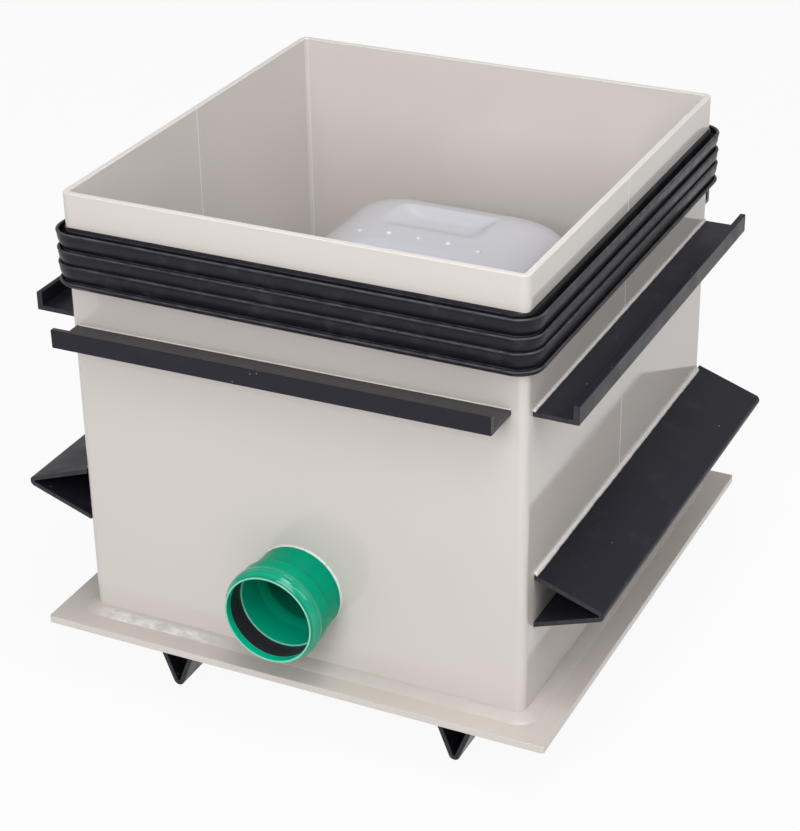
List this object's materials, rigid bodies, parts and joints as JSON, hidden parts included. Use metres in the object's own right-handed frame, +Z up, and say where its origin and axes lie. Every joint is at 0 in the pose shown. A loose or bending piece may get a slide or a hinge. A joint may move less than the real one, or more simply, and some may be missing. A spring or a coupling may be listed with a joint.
{
  "type": "backwater valve chamber",
  "caption": "Square plastic pit box on a foot plate with anchor profiles, a finned rubber wall seal and a green pipe socket; a hooded flap valve inside keeps sewage from flowing back",
  "frame": {"origin": "middle of the bounding box at floor level, under the tips of the foot rails", "axes": "+X to the right seen from the inlet side, +Y along the flow from inlet to outlet, +Z up"},
  "size_m": [0.776, 0.78, 0.67],
  "materials": {
    "chamber_plastic": "pale pebble grey sheet, satin",
    "weld_plastic": "pale extruded weld, uneven",
    "black_profile": "black sheet, satin",
    "seal_rubber": "black rubber",
    "pipe_green": "glossy green pipe",
    "valve_plastic": "dark grey moulding",
    "flap_plastic": "grey moulding",
    "lever_plastic": "grey moulding",
    "steel": "plain stainless",
    "hood_plastic": "milky moulding"
  },
  "bodies": {
    "chamber": {"anchor_channel_weld_beads": "weld_plastic", "base_plate": "chamber_plastic", "base_weld_bead": "weld_plastic", "flap_hinge_pin": "steel", "front_key_angle": "black_profile", "front_saddle": "chamber_plastic", "front_wall_shell": "chamber_plastic", "inlet_lip_seal": "seal_rubber", "inlet_socket_pipe": "pipe_green", "inlet_weld_ring": "weld_plastic", "key_angle_weld_beads": "weld_plastic", "left_anchor_channel": "black_profile", "left_foot_rail": "black_profile", "left_key_angle": "black_profile", "lid_gasket": "seal_rubber", "lid_screws": "steel", "outlet_spigot_pipe": "pipe_green", "outlet_weld_ring": "weld_plastic", "protective_hood": "hood_plastic", "rear_key_angle": "black_profile", "rear_saddle": "chamber_plastic", "rear_wall_shell": "chamber_plastic", "right_anchor_channel": "black_profile", "right_foot_rail": "black_profile", "right_key_angle": "black_profile", "sealing_gaiter": "seal_rubber", "stem_gland": "flap_plastic", "stem_o_ring": "seal_rubber", "test_plug": "flap_plastic", "valve_body": "valve_plastic", "valve_lid": "valve_plastic"},
    "flap": {"service_flap": "flap_plastic", "flap_seal": "seal_rubber"},
    "shutoff": {"closing_disc": "flap_plastic", "closing_stem": "steel", "closing_lever": "lever_plastic"}
  },
  "joints": [
    {"name": "flap_swing", "type": "hinge", "parent": "chamber", "child": "flap", "pos_m": [0, -0.09806, 0.27016], "axis": [1, 0, 0], "range_deg": [0, 65]},
    {"name": "shutoff_turn", "type": "hinge", "parent": "chamber", "child": "shutoff", "pos_m": [0, 0.149, 0.2467], "axis": [0, 0, 1], "range_deg": [0, 90]}
  ]
}
